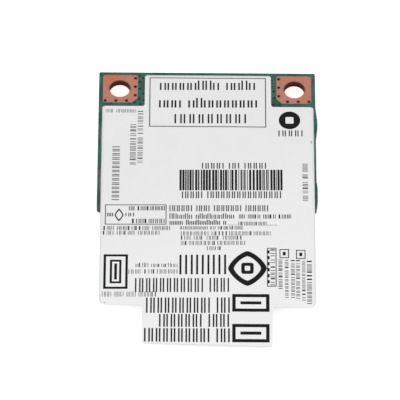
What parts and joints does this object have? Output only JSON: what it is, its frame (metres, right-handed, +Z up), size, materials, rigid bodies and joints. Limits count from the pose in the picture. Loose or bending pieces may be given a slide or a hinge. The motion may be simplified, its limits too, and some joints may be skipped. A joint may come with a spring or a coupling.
{
  "type": "laptop wifi card",
  "caption": "Half-height wireless network card with an edge connector, a shielded radio, two antenna sockets and a paper label that overhangs the connector.",
  "frame": {"origin": "midway between the two screw holes, on the label side of the circuit board", "axes": "+X across the card along the line of the screw holes, +Y away from the edge connector, +Z up out of the label side"},
  "size_m": [0.0302, 0.0448, 0.003],
  "materials": {
    "board": "solder mask over glass laminate",
    "copper": "bare copper",
    "gold": "gold plated",
    "label": "matt paper with black print",
    "shield": "tinned",
    "moulding": "moulded",
    "socket_base": "moulded",
    "solder": "tinned",
    "filter": "sintered",
    "capacitor": "sintered",
    "resistor": "coated",
    "crystal_base": "sintered",
    "inductor": "sintered"
  },
  "bodies": {
    "root": {"circuit_board": "board", "mounting_pad_left": "copper", "mounting_pad_right": "copper", "edge_contacts_label_side": "gold", "edge_contacts_component_side": "gold", "label": "label", "shield_lid": "shield", "shield_frame": "shield", "antenna_socket_base_left": "socket_base", "antenna_socket_base_right": "socket_base", "antenna_socket_ring_left": "gold", "antenna_socket_ring_right": "gold", "antenna_socket_pin_left": "gold", "antenna_socket_pin_right": "gold", "radio_chip": "moulding", "radio_chip_pads": "solder", "front_end_module_left": "moulding", "front_end_module_right": "moulding", "front_end_pads_left": "solder", "front_end_pads_right": "solder", "antenna_filter_left": "filter", "antenna_filter_right": "filter", "crystal_base": "crystal_base", "crystal_cap": "shield", "memory_chip": "moulding", "memory_chip_pads": "solder", "regulator_chip": "moulding", "power_inductor": "inductor", "capacitor_bodies": "capacitor", "capacitor_terminals": "solder", "resistor_bodies": "resistor", "resistor_terminals": "solder"}
  },
  "joints": []
}
